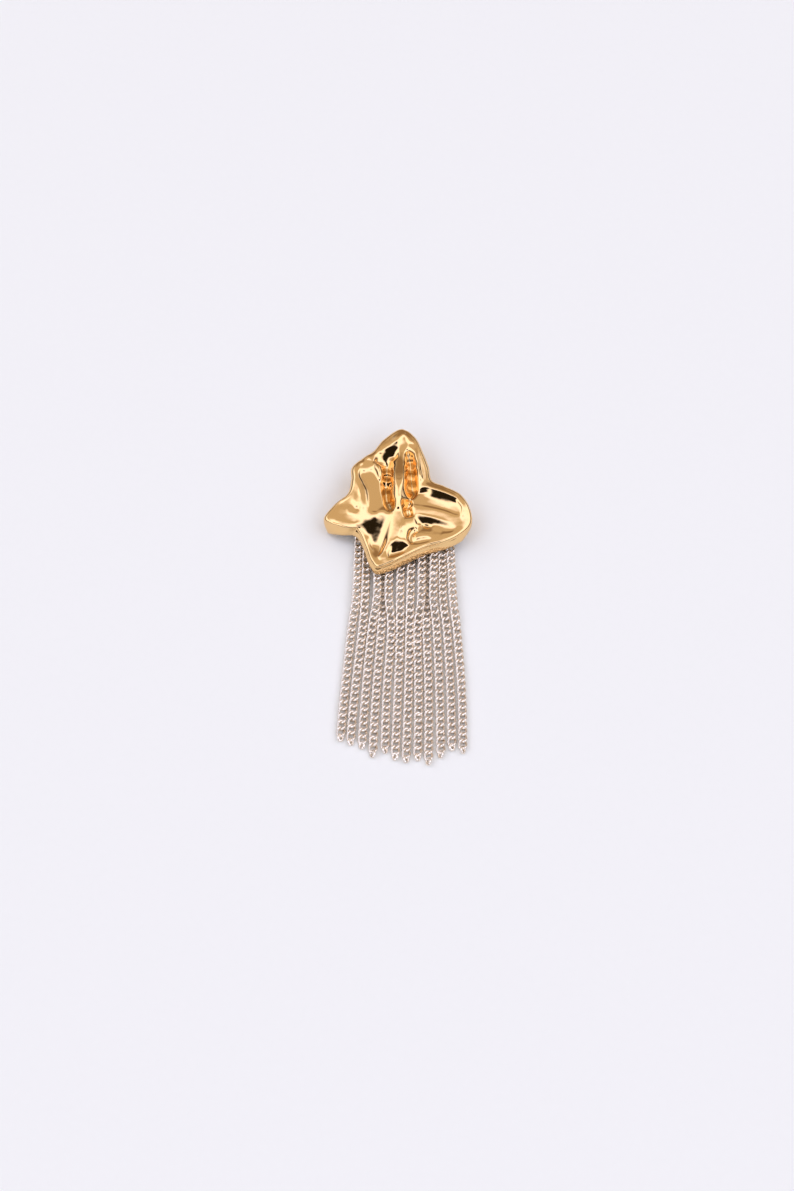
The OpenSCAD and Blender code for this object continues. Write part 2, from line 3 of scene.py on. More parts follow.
import bpy
import numpy as np
from mathutils import Matrix, Vector


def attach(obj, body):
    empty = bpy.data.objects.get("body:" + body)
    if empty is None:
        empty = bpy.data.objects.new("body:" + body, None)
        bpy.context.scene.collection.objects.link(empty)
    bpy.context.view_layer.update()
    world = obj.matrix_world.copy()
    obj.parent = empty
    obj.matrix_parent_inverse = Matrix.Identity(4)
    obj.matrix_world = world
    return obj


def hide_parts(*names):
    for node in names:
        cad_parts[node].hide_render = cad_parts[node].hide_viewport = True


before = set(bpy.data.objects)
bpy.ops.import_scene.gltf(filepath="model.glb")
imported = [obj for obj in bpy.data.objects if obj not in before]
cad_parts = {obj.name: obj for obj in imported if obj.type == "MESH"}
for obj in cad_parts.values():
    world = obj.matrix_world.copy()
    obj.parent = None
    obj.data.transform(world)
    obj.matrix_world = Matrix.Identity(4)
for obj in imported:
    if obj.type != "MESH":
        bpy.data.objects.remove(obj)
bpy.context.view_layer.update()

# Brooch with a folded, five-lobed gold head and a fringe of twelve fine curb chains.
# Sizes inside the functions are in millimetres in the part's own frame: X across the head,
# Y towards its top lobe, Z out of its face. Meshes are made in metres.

bl_info = {
    "name": "Chain fringe brooch",
    "version": (1, 0, 0),
    "blender": (4, 5, 0),
    "location": "3D View > Sidebar > Brooch",
    "description": "Builds a folded gold brooch head with a fringe of fine curb chains",
    "category": "Object",
}

MM = 0.001

# Outline of the head, clockwise from the top lobe's tip.
# Columns: across, along, height of the face there, height of the foot,
# share of the near side's steep edge.
OUTLINE = [
    (0.2, 28.5, 4.5, 0, 0),
    (2.5, 26.9, 4.5, 0, 0),
    (3.8, 24.2, 4.5, 0, 0),
    (4.8, 21.6, 4.5, 0, 0),
    (5.4, 19, 4.5, 0, 0),
    (7.6, 17.9, 4.5, 0, 0),
    (10.2, 16.5, 4.5, 0, 0),
    (11.8, 14, 4.4, 0, 0.2),
    (12.1, 11.4, 4.3, 1, 0.3),
    (10.6, 9.1, 4.3, 2.3, 1),
    (8, 7.5, 4.2, 2.3, 1),
    (4.9, 6.4, 4.2, 2.3, 1),
    (1.9, 4.8, 4.2, 2.3, 1),
    (-0.8, 3.3, 4.1, 2.3, 1),
    (-3.2, 2.6, 4, 2.3, 1),
    (-4.6, 4.2, 4.1, 2.3, 0.8),
    (-5.6, 7, 4.2, 2.3, 0.8),
    (-6.9, 9.3, 4.2, 2.3, 1),
    (-9.2, 9.6, 4.1, 2.1, 1),
    (-11.4, 10.6, 3.9, 0.8, 1),
    (-12.1, 12, 3.9, 0, 0.2),
    (-10.4, 14.4, 4.1, 0, 0),
    (-8.3, 16.2, 4.6, 0, 0),
    (-7.8, 18.6, 4.7, 0, 0),
    (-7.8, 20.8, 4.7, 0, 0),
    (-6.3, 22.6, 4.7, 0, 0),
    (-4.4, 24.2, 4.6, 0, 0),
    (-2.6, 26.7, 4.5, 0, 0),
]

# Crests and valleys that the face is drawn over, each a smooth line through its stations.
# Columns of a station: across, along, height.
FOLD_LINES = {
    "top lobe, left rim": [
        (0.2, 27.4, 5.25), (-1.2, 26.4, 5.05), (-2.6, 24.8, 4.9), (-4.2, 23.4, 5), (-5.4, 22.7, 5.1)
    ],
    "top lobe, left brink": [
        (-0.3, 26.6, 5.45), (-1.3, 25.4, 5.25), (-2.6, 24.4, 4.95), (-3.9, 23.3, 4.85),
        (-4.5, 22.6, 5.1)
    ],
    "top slope, high": [(-1.2, 25, 5.1), (-0.7, 25, 5.1)],
    "top slope, middle": [(-2.5, 24, 4.75), (-1.5, 24, 4.7), (-0.8, 24, 4.7)],
    "top slope, low": [(-3.5, 23.1, 4.5), (-2.8, 23, 4.35), (-2, 23, 4.3), (-0.9, 23, 4.3)],
    "top slope, foot": [(-3.4, 22.1, 4.3), (-2.4, 22.1, 4)],
    "upper left rim": [
        (-6.4, 21.8, 5.2), (-7, 20.6, 5.2), (-7.1, 19, 5.2), (-7, 17.4, 5.1), (-7.4, 15.9, 4.9),
        (-8.3, 14.4, 4.6)
    ],
    "right rim": [
        (1.5, 26.8, 5.18), (2.9, 25.1, 5.2), (3.7, 21.9, 5.2), (4.1, 19.8, 5.2), (5, 18.2, 5.1),
        (6.8, 17.3, 5.2), (9.4, 16.1, 5.1), (10.9, 14.8, 5), (11.3, 12.8, 4.7), (11, 11.4, 4.5)
    ],
    "right brink": [
        (2.1, 24.9, 5.2), (2.8, 21.9, 5.45), (3, 19.4, 5.5), (3.7, 17.7, 5.3), (5.4, 17.1, 5.4),
        (7.4, 16.6, 5.4), (9, 15.8, 5.3)
    ],
    "right slope, high": [(4.4, 16.6, 4.9), (5.4, 16.4, 5.08), (7.4, 15.9, 5.1), (8.8, 15.2, 4.9)],
    "right slope, low": [(4.4, 15.9, 4.8), (5.4, 15.7, 4.82), (7.4, 15.2, 4.85), (8.6, 14.7, 4.81)],
    "low rim": [
        (9.9, 9.8, 4.4), (7.7, 8.4, 4.4), (5.1, 7.3, 4.4), (3.1, 6.5, 4.4), (1.6, 5.6, 4.4),
        (0.2, 4.7, 4.4), (-1.2, 4, 4.3), (-2.7, 3.5, 4.2), (-3.6, 4.6, 4), (-4.4, 6.2, 3.9),
        (-5, 8, 3.95), (-6.1, 9.5, 4.2), (-7.6, 10.2, 4.4), (-9.2, 10.6, 4.35)
    ],
    "left crest": [(-11, 11.9, 4.1), (-9.8, 12.3, 4.3), (-8.8, 12.7, 4.5)],
    "left valley": [
        (-1.9, 21.4, 3.7), (-2.15, 20.6, 3.78), (-1.75, 19.8, 3.62), (-2.1, 18.8, 3.78),
        (-1.7, 17.8, 3.7), (-1.95, 16.6, 3.9), (-1.5, 15.2, 4.1), (-1.4, 13.8, 4.5)
    ],
    "finger": [
        (0.4, 26.2, 5.2), (0.5, 24.6, 5), (0.1, 22.6, 5.2), (0, 20.6, 5.7), (0, 18.5, 6.1),
        (0, 17, 6.2), (0, 15.4, 6), (0.1, 13.8, 5.7)
    ],
    "finger, left side": [(-0.6, 22.6, 5), (-0.9, 20.6, 5.4), (-0.9, 18.5, 5.8), (-0.8, 15.4, 5.6)],
    "finger, right side": [(0.8, 22.6, 5), (0.95, 20.6, 5.4), (0.95, 18.5, 5.8), (0.8, 15.6, 5.6)],
    "right valley": [
        (1.7, 23.4, 4.2), (1.7, 22.5, 3.75), (2.1, 21.7, 3.8), (1.75, 20.9, 3.62),
        (2.15, 20.1, 3.75), (1.8, 19.2, 3.65), (2.1, 18.3, 3.8), (1.75, 17.3, 3.95),
        (1.8, 16.2, 4.5)
    ],
    "dimple": [(-5.7, 21.8, 5), (-5.1, 22, 5)],
    "dimple ridge": [(-6.2, 20.9, 5.05), (-5.2, 20.9, 4.98), (-4.3, 21.3, 5.1)],
    "terrace, left side": [
        (-6, 19.6, 4.8), (-5.5, 18.3, 4.8), (-4.7, 16.6, 4.8), (-4.4, 15, 4.8), (-4.3, 13.4, 4.85)
    ],
    "terrace, middle": [
        (-5.1, 19.8, 4.8), (-4.5, 18.4, 4.8), (-3.9, 16.7, 4.8), (-3.7, 14.9, 4.8),
        (-3.7, 13.4, 4.85)
    ],
    "terrace, right side": [
        (-4.3, 20, 4.85), (-3.6, 18.6, 4.85), (-3.1, 16.8, 4.8), (-3, 14.8, 4.8), (-3, 13.4, 4.85)
    ],
    "terrace lip": [(-3.6, 21.4, 5.3), (-3.2, 20.4, 5.4), (-2.8, 19.1, 5.1)],
    "left bump": [
        (-6.6, 18, 5.2), (-5.7, 16.4, 5.25), (-5.5, 15, 5.25), (-5.4, 13.8, 5.15),
        (-5.1, 12.9, 4.95)
    ],
    "left bump, outer side": [(-7, 15.4, 5), (-7, 14, 4.95), (-7.6, 12.9, 4.7)],
    "bump pits": [(-7.5, 14.1, 4.72), (-7, 13.3, 4.62)],
    "left bump, low side": [(-6.6, 12.4, 4.75), (-5.4, 12.1, 4.8), (-4.5, 12.2, 4.85)],
    "basin top": [(-8.3, 11.7, 4.5), (-6.8, 11.5, 4.55), (-5.4, 11.2, 4.6)],
    "basin floor": [(-6.2, 10.7, 4.5), (-5.3, 9.9, 4.18), (-4.9, 9, 3.9)],
    "long slope, left side": [
        (-3.8, 12, 4.9), (-4.5, 10.8, 4.5), (-4.3, 9.6, 4.08), (-4, 8.5, 3.73), (-3.8, 7.4, 3.45)
    ],
    "long slope, middle": [
        (-2.6, 12.8, 5), (-3, 11.3, 4.65), (-3.3, 9.9, 4.2), (-3.4, 8.4, 3.72), (-3.3, 7.2, 3.45),
        (-3.1, 6, 3.65)
    ],
    "long slope, right side": [
        (-1.9, 12.2, 4.95), (-2.1, 11, 4.6), (-2.4, 9.7, 4.2), (-2.7, 8.5, 3.83), (-2.8, 7.4, 3.55)
    ],
    "bottom ridge": [
        (0.2, 12.6, 5.4), (-0.4, 10.4, 5.1), (-1, 8.2, 4.75), (-1.6, 6.3, 4.5), (-2.2, 5, 4.35)
    ],
    "upper pit": [(1.1, 14.3, 4.4)],
    "lower pit": [(1.7, 12.9, 4.2)],
    "middle ridge": [(2.4, 11.4, 4.9), (1.5, 9.9, 5), (0.9, 8.4, 4.8)],
    "right flat": [(3.2, 15, 4.8), (5.2, 15, 4.7), (7.6, 14.5, 4.7), (9.4, 13.8, 4.65)],
    "right ridge": [
        (2.8, 13.3, 4.85), (4.5, 13.1, 4.75), (6.5, 12.7, 4.65), (8.5, 12, 4.6), (9.9, 11.3, 4.5)
    ],
    "right ridge, low side": [(3.4, 12.1, 4.65), (6.4, 11.6, 4.55), (8.8, 10.9, 4.45)],
    "right basin, top": [(3.4, 11.7, 4.4), (5, 11.5, 4.35), (6.5, 11.15, 4.3), (8.6, 10.5, 4.3)],
    "right basin": [(3.7, 10.3, 4.35), (6.4, 10, 4.3)],
    "oval pit": [(4.5, 10.7, 3.9), (4.9, 10.6, 3.9)],
    "narrow pit": [(2.4, 9.4, 4.1), (2.3, 8.4, 4.1)],
    "small ridge": [(2.9, 8.6, 4.5), (4.4, 8.9, 4.5), (6.2, 9, 4.4)],
    "small pits": [(3.4, 8, 4.34), (4.8, 8.3, 4.34)],
    "low slope, top": [(-0.3, 7.3, 4.7), (1.2, 7.5, 4.65)],
    "low slope, middle": [(-0.6, 6.5, 4.35), (0.9, 6.8, 4.3)],
    "low slope, foot": [(-0.9, 5.7, 4), (0.6, 6.1, 4)],
}

# Strands of the fringe, from left to right.
# Columns: place across at the rail, at the end of the rise and at two stations further down,
# place across and along of the free end, height of the middle where the strand leaves the head.
STRANDS = [
    (-6.2, -6.3, -6.8, -7.5, -7.9, -25.5, 0.9),
    (-4.8, -4.85, -5.1, -5.9, -6.3, -26.2, 1.0),
    (-3.0, -2.95, -3.6, -4.2, -4.5, -26.7, 1.5),
    (-2.05, -2.05, -2.1, -2.55, -2.8, -28.1, 0.4),
    (-1.1, -1.05, -0.5, -0.9, -0.9, -27.3, 1.5),
    (0.7, 0.75, 0.9, 0.85, 0.7, -28.4, 1.3),
    (2.4, 2.4, 2.4, 2.5, 2.4, -28.8, 1.2),
    (4.1, 4.15, 3.7, 4.1, 4.2, -28.3, 1.5),
    (5.05, 5.05, 5.15, 5.7, 5.9, -29.0, 0.4),
    (6.0, 6.1, 6.75, 7.4, 7.8, -27.8, 1.5),
    (7.25, 7.65, 8.4, 9.15, 9.5, -26.5, 1.0),
    (8.6, 9.3, 10, 10.9, 11.2, -27.0, 0.9),
]
# Place along of the end of the rise and of the two stations further down
STATION_Y = (-1.0, -6.2, -17.0)
# Rail that the strands start from, and where they have come down from it
RAIL_Y = 12.0
RAIL_Z = 1.9
LEAVE_Y = 9.8
# A strand that leaves the head lower than the first height passes under its neighbours,
# and starts at the second height, under the rail
UNDER_MAX_Z = 0.5
UNDER_Z = 1.0

# Point from which the head's rays run to its outline
MIDDLE = np.array([1.4, 13.6])
# Distance between guide points on the outline and on the crests and valleys
RIM_STEP = 0.7
FOLD_STEP = 0.6
# Reach of each sweep in which the face is drawn, and the weight at which a sweep fades out
REACHES = (1.6, 0.8, 0.45)
FADE = 0.001
# Height from which the heights of the tables are counted
FACE_MIDDLE = 4.7
# Points from one row of the outline to the next, and rings of each part of the head
OUTLINE_STEPS = 14
FACE_RINGS = 150
EDGE_RINGS = 8
SIDE_RINGS = 12
HOLLOW_RINGS = 24
# Share of the folds' depth that the hollow follows
HOLLOW_SHARE = 0.5
# Least share of a ray's length that counts as its distance from the outline
RAY_MIN = 0.66

# Steps of a strand's route between two stations, and distance between its even points
GLIDE_STEPS = 40
ROUTE_STEP = 0.1
# Distance to each side over which a link's direction is taken
LINK_REACH = 0.4
# Steps round a link, and sides of its wire
LINK_STEPS = 28
WIRE_SIDES = 8
# Last link of each chain, a smaller flat one, with its distance from the next and the least
# and greatest turn about the chain in degrees
END_LINK = {"link_w": 1.2, "link_l": 1.4, "twist": 0.0}
END_DROP = 0.93
END_TURN = (25, 50)
# Play of each link in degrees, about the chain and about the upright
ROLL_PLAY = 4
YAW_PLAY = 3
# Seed of the first chain's play, less one
PLAY_SEED = 100
# Least height of a link over the floor
FLOOR_GAP = 0.01

# Faint unevenness of each metal.
# Columns: colour where it is worn, variation of the roughness, scale, relief.
POLISH = {
    "polished_gold": ((0.885, 0.59, 0.275), 0.03, 450, 0.45),
    "silver_chain": ((0.94, 0.83, 0.71), 0.1, 2500, 0.03),
    "back_gold": ((0.70, 0.52, 0.25), 0.2, 900, 0.09),
}
# Fineness and depth in metres of the unevenness
POLISH_DETAIL = 2
POLISH_DEPTH = 0.0001
BACK_GOLD = (0.82, 0.62, 0.30)
BACK_ROUGHNESS = 0.3

# Light tent: its colour at the horizon and below, and patches that each lie over those before.
# Columns: direction, degrees of the full patch, degrees where it has faded out, colour.
HORIZON = (0.07, 0.045, 0.03)
TENT = [
    ((0, 0, 1), 52, 84, (1.58, 1.62, 1.93)),
    ((0, 0, 1), 13, 35, (1.6, 1.64, 2.12)),
    ((0, 1, 0.9), 29, 43, (0.7, 0.6, 0.5)),
    ((0, 1, 0.35), 16, 37, (0.34, 0.25, 0.18)),
    ((0, -0.4318, 0.902), 17, 29, (0.02, 0.016, 0.012)),
]
# Colour that shows beyond the floor
BACKDROP = (0.87, 0.865, 0.91)

# Floor: half its side, roughness, scale of its fine grain and shade of the grain's low places
FLOOR_HALF = 1500
FLOOR_ROUGHNESS = 0.6
GRAIN_SCALE = 900
GRAIN_SHADE = 0.985

# Camera: place, look downwards and roll in degrees, nearest and furthest view in metres
CAMERA_AT = (0.25, -139.6, 292.0)
CAMERA_DOWN = 64.42
CAMERA_ROLL = 1.73
VIEW_RANGE = (0.01, 10)


def glide(a, b, c, d, t):
    """Value at share t between b and c of a smooth curve through a, b, c and d."""
    return 0.5 * (2 * b + (c - a) * t + (2 * a - 5 * b + 4 * c - d) * t ** 2
                  + (3 * b - a - 3 * c + d) * t ** 3)


def smooth_line(stations, step, closed=False):
    """Points about step apart on a smooth line through the stations."""
    rows = np.array(stations, dtype=float)
    n = len(rows)
    run = []
    for i in range(n if closed else n - 1):
        a, d = (i - 1, i + 2) if closed else (max(i - 1, 0), min(i + 2, n - 1))
        here, after = rows[i], rows[(i + 1) % n]
        parts = max(1, round(np.linalg.norm((after - here)[:2]) / step))
        run += [glide(rows[a], here, after, rows[d % n], k / parts) for k in range(parts)]
    return np.array(run if closed else run + [rows[-1]])


def nearness(points, guide, reach):
    """Weight of each guide point at each point, falling off over the reach."""
    away = points[:, None, :] - guide[None, :, :2]
    return np.exp(-np.sum(away ** 2, axis=2) / reach ** 2)


def sweep(points, guide, missing, reach):
    """Mean of what is missing at the guide points near each point."""
    weight = nearness(points, guide, reach)
    return weight @ missing / (weight.sum(axis=1) + FADE)


def fold_guide():
    """Guide points of the face, and what each sweep finds missing at them."""
    lines = [smooth_line([row[:3] for row in OUTLINE], RIM_STEP, closed=True)]
    lines += [smooth_line(stations, FOLD_STEP) for stations in FOLD_LINES.values()]
    guide = np.vstack(lines)
    missing = [guide[:, 2] - FACE_MIDDLE]
    for reach in REACHES[:-1]:
        missing.append(missing[-1] - sweep(guide[:, :2], guide, missing[-1], reach))
    return guide, missing


def face_depth(points, guide, missing):
    """Height of the face over its middle height, drawn in sweeps of narrowing reach."""
    return sum(sweep(points, guide, part, reach) for part, reach in zip(missing, REACHES))


def outline_rays():
    """Outline points with their table columns, and each ray, its length and its facing."""
    rows = np.array(OUTLINE, dtype=float)
    n = len(rows)
    run = []
    for i in range(n):
        for k in range(OUTLINE_STEPS):
            run.append(glide(rows[i - 1], rows[i], rows[(i + 1) % n], rows[(i + 2) % n],
                             k / OUTLINE_STEPS))
    run = np.array(run)
    run[:, 3] = np.maximum(run[:, 3], 0)
    run[:, 4] = np.clip(run[:, 4], 0, 1)
    ray = run[:, :2] - MIDDLE
    length = np.linalg.norm(ray, axis=1)
    before, after = np.roll(run[:, :2], 1, axis=0), np.roll(run[:, :2], -1, axis=0)
    normal = np.stack([before[:, 1] - after[:, 1], after[:, 0] - before[:, 0]], axis=1)
    normal /= np.linalg.norm(normal, axis=1)[:, None]
    facing = np.maximum(RAY_MIN, np.sum(normal * ray, axis=1) / length)
    return run, ray, length, facing


def head_points(p):
    """Rings of points of the head from the middle of its face to the middle of its hollow."""
    run, ray, length, facing = outline_rays()
    reach = length * facing
    guide, missing = fold_guide()

    def inside(d):
        return MIDDLE + ray * (1 - d / reach)[:, None]

    def face_z(xy):
        return p["face_z"] + p["fold_scale"] * face_depth(xy, guide, missing)

    def hollow_z(xy):
        floor = p["valley_z"] - p["wall"]
        return floor + HOLLOW_SHARE * (face_z(xy) - p["valley_z"])

    def face(share):
        xy = inside(brink_in + (1 - share) * (reach - brink_in))
        return np.c_[xy, face_z(xy)]

    near = run[:, 4]
    edge_r = p["edge_r"] + near * (p["near_edge_r"] - p["edge_r"])
    lean = near * p["near_lean"]
    foot_in = p["foot_in"] + near * (p["near_foot_in"] - p["foot_in"])
    brink_in = edge_r + lean
    brink = face(1.0)[:, 2]
    rings = [face(k / FACE_RINGS) for k in range(1, FACE_RINGS + 1)]
    for k in range(1, EDGE_RINGS + 1):
        turn = math.pi / 2 * k / EDGE_RINGS
        rings.append(np.c_[inside(lean + edge_r * (1 - math.sin(turn))),
                           brink - edge_r * (1 - math.cos(turn))])
    top = brink - edge_r
    for k in range(1, SIDE_RINGS + 1):
        share = k / SIDE_RINGS
        rings.append(np.c_[inside(lean * (1 - share) ** 2 + foot_in * share ** 2),
                           top + (run[:, 3] - top) * share])
    inner = foot_in + p["foot_w"]
    rings.append(np.c_[inside(inner), run[:, 3]])
    for k in range(HOLLOW_RINGS):
        xy = inside(inner + k / HOLLOW_RINGS * (reach - inner))
        rings.append(np.c_[xy, hollow_z(xy)])
    centre = MIDDLE[None, :]
    first = [*MIDDLE, face_z(centre)[0]]
    last = [*MIDDLE, hollow_z(centre)[0]]
    return first, rings, last


def closed_rings(first, rings, last):
    """Vertices and faces of rings of points that lie between a first and a last point."""
    n = len(rings[0])
    verts = np.vstack([[first]] + rings + [[last]])
    j = np.arange(n)
    k = (j + 1) % n
    faces = [(0, 1 + b, 1 + a) for a, b in zip(k, j)]
    for r in range(len(rings) - 1):
        a, b = 1 + r * n, 1 + (r + 1) * n
        faces += list(zip(a + j, b + j, b + k, a + k))
    a = 1 + (len(rings) - 1) * n
    faces += [(a + x, len(verts) - 1, a + y) for x, y in zip(j, k)]
    return verts, faces


def mesh_piece(name, verts, faces, material):
    """A smooth-shaded object of the given millimetre points."""
    mesh = bpy.data.meshes.new(name)
    mesh.from_pydata((np.asarray(verts) * MM).tolist(), [], [tuple(map(int, f)) for f in faces])
    mesh.validate()
    mesh.shade_smooth()
    mesh.materials.append(material)
    piece = bpy.data.objects.new(name, mesh)
    bpy.context.collection.objects.link(piece)
    return piece


def link_points(p):
    """One curb link about its own middle, along Y, twisted so that it lies flat in a chain."""
    t = np.linspace(0, 2 * math.pi, LINK_STEPS, endpoint=False)
    half_w = (p["link_w"] - p["wire_d"]) / 2
    half_l = (p["link_l"] - p["wire_d"]) / 2
    mid = np.c_[half_w * np.cos(t), half_l * np.sin(t), p["twist"] * np.sin(2 * t)]
    way = np.roll(mid, -1, axis=0) - np.roll(mid, 1, axis=0)
    way /= np.linalg.norm(way, axis=1)[:, None]
    out = np.c_[np.cos(t) / half_w, np.sin(t) / half_l, np.zeros(LINK_STEPS)]
    out -= way * np.sum(out * way, axis=1)[:, None]
    out /= np.linalg.norm(out, axis=1)[:, None]
    up = np.cross(way, out)
    turn = np.arange(WIRE_SIDES) * 2 * math.pi / WIRE_SIDES
    rings = (mid[:, None, :] + p["wire_d"] / 2 * (out[:, None, :] * np.cos(turn)[None, :, None]
             + up[:, None, :] * np.sin(turn)[None, :, None]))
    verts = rings.reshape(-1, 3)
    faces = []
    for i in range(LINK_STEPS):
        for j in range(WIRE_SIDES):
            a, b = i * WIRE_SIDES, (i + 1) % LINK_STEPS * WIRE_SIDES
            k = (j + 1) % WIRE_SIDES
            faces.append((a + j, a + k, b + k, b + j))
    return verts, np.array(faces)


def strand_route(row, low):
    """Evenly spaced points along a strand's middle, from the rail to its end."""
    under = row[6] < UNDER_MAX_Z
    leave_z = max(row[6], low)
    mid_x, mid_y = (row[0] + row[1]) / 2, (LEAVE_Y + STATION_Y[0]) / 2
    stations = np.array([
        (row[0], RAIL_Y, UNDER_Z if under else RAIL_Z),
        (row[0], LEAVE_Y, leave_z),
        (mid_x, mid_y, leave_z),
        (row[1], STATION_Y[0], leave_z),
        (row[2], STATION_Y[1], low),
        (row[3], STATION_Y[2], low),
        (row[4], row[5], low),
    ])
    n = len(stations)
    run = [glide(stations[max(i - 1, 0)], stations[i], stations[i + 1],
                 stations[min(i + 2, n - 1)], k / GLIDE_STEPS)
           for i in range(n - 1) for k in range(GLIDE_STEPS)] + [stations[-1]]
    run = np.array(run)
    run[:, 2] = np.maximum(run[:, 2], low)
    gone = np.r_[0, np.cumsum(np.linalg.norm(np.diff(run, axis=0), axis=1))]
    even = np.arange(0, gone[-1], ROUTE_STEP)
    return np.stack([np.interp(even, gone, run[:, i]) for i in range(3)], axis=1)


def link_axes(back, on):
    """Axes of a link that lies flat along the way from back to on."""
    way = Vector(on - back).normalized()
    side = way.cross(Vector((0, 0, 1))).normalized()
    return Matrix((side, -way, side.cross(way))).transposed()


def turned(axes, degrees, about):
    """Axes turned about one of their own."""
    return axes @ Matrix.Rotation(math.radians(degrees), 3, about)


def strand_points(number, row, p):
    """All links of one chain, set along its route with a little play in each."""
    rng = np.random.default_rng(PLAY_SEED + number)
    (usual, faces), (last, _) = link_points(p), link_points({**p, **END_LINK})
    low = p["twist"] + p["wire_d"] / 2
    route = strand_route(row, low)
    end = (len(route) - 1) * ROUTE_STEP - END_LINK["link_l"] / 2
    count = 1 + int((end - END_DROP) / p["pitch"])

    def along(gone):
        return np.array([np.interp(gone / ROUTE_STEP, np.arange(len(route)), route[:, c])
                         for c in range(3)])

    all_verts, all_faces = [], []
    for i in range(count):
        verts = last if i == 0 else usual
        gone = end if i == 0 else end - END_DROP - p["pitch"] * (i - 1)
        axes = link_axes(along(gone - LINK_REACH), along(gone + LINK_REACH))
        if i == 0:
            axes = turned(axes, rng.choice((-1, 1)) * rng.uniform(*END_TURN), "Y")
        roll, yaw = rng.normal(0, ROLL_PLAY), rng.normal(0, YAW_PLAY)
        axes = turned(turned(axes, yaw, "Z"), roll, "Y")
        placed = verts @ np.array(axes).T + along(gone)
        placed[:, 2] -= min(placed[:, 2].min() - FLOOR_GAP, 0)
        all_verts.append(placed)
        all_faces.append(faces + len(verts) * i)
    return np.vstack(all_verts), np.vstack(all_faces)


def new_material(name, colour):
    """A material and its node tree, with its colour for plain views."""
    material = bpy.data.materials.new(name)
    material.use_nodes = True
    material.diffuse_color = (*colour, 1)
    return material, material.node_tree


def blend(tree, share, under, over):
    """Output that goes from under to over by the share, each a node's output or a colour."""
    mix = tree.nodes.new("ShaderNodeMix")
    mix.data_type = "RGBA"
    tree.links.new(share, mix.inputs["Factor"])
    for label, tone in (("A", under), ("B", over)):
        if isinstance(tone, bpy.types.NodeSocket):
            tree.links.new(tone, mix.inputs[label])
        else:
            mix.inputs[label].default_value = (*tone, 1)
    return mix.outputs["Result"]


def polish_group():
    """Node group of the faint unevenness that hand polishing leaves in a metal."""
    name = "hand_polish"
    if name in bpy.data.node_groups:
        return bpy.data.node_groups[name]
    group = bpy.data.node_groups.new(name, "ShaderNodeTree")
    face = group.interface
    for label, low, high in (("Roughness", 0.0, 1.0), ("Variation", 0.0, 1.0),
                             ("Scale", 0.0, 1e5), ("Relief", 0.0, 1.0)):
        socket = face.new_socket(label, in_out="INPUT", socket_type="NodeSocketFloat")
        socket.min_value, socket.max_value = low, high
    face.new_socket("Tone", in_out="INPUT", socket_type="NodeSocketColor")
    face.new_socket("Worn Tone", in_out="INPUT", socket_type="NodeSocketColor")
    face.new_socket("Roughness", in_out="OUTPUT", socket_type="NodeSocketFloat")
    face.new_socket("Colour", in_out="OUTPUT", socket_type="NodeSocketColor")
    face.new_socket("Normal", in_out="OUTPUT", socket_type="NodeSocketVector")
    nodes, links = group.nodes, group.links
    given, out = nodes.new("NodeGroupInput"), nodes.new("NodeGroupOutput")
    place = nodes.new("ShaderNodeTexCoord")
    broad = nodes.new("ShaderNodeTexNoise")
    broad.inputs["Detail"].default_value = POLISH_DETAIL
    links.new(place.outputs["Object"], broad.inputs["Vector"])
    links.new(given.outputs["Scale"], broad.inputs["Scale"])
    centred = nodes.new("ShaderNodeMath")
    centred.operation = "SUBTRACT"
    centred.inputs[1].default_value = 0.5
    links.new(broad.outputs["Fac"], centred.inputs[0])
    vary = nodes.new("ShaderNodeMath")
    vary.operation = "MULTIPLY_ADD"
    links.new(centred.outputs[0], vary.inputs[0])
    links.new(given.outputs["Variation"], vary.inputs[1])
    links.new(given.outputs["Roughness"], vary.inputs[2])
    links.new(vary.outputs[0], out.inputs["Roughness"])
    tone = blend(group, broad.outputs["Fac"], given.outputs["Tone"], given.outputs["Worn Tone"])
    links.new(tone, out.inputs["Colour"])
    bump = nodes.new("ShaderNodeBump")
    bump.inputs["Distance"].default_value = POLISH_DEPTH
    links.new(given.outputs["Relief"], bump.inputs["Strength"])
    links.new(broad.outputs["Fac"], bump.inputs["Height"])
    links.new(bump.outputs["Normal"], out.inputs["Normal"])
    return group


def metal(name, colour, roughness):
    """A polished metal with the faint unevenness that its row of the table gives."""
    worn, variation, scale, relief = POLISH[name]
    material, tree = new_material(name, colour)
    links = tree.links
    shader = tree.nodes["Principled BSDF"]
    shader.inputs["Metallic"].default_value = 1.0
    polish = tree.nodes.new("ShaderNodeGroup")
    polish.node_tree = polish_group()
    polish.inputs["Roughness"].default_value = roughness
    polish.inputs["Variation"].default_value = variation
    polish.inputs["Scale"].default_value = scale
    polish.inputs["Relief"].default_value = relief
    polish.inputs["Tone"].default_value = (*colour, 1)
    polish.inputs["Worn Tone"].default_value = (*worn, 1)
    links.new(polish.outputs["Colour"], shader.inputs["Base Color"])
    links.new(polish.outputs["Roughness"], shader.inputs["Roughness"])
    links.new(polish.outputs["Normal"], shader.inputs["Normal"])
    return material


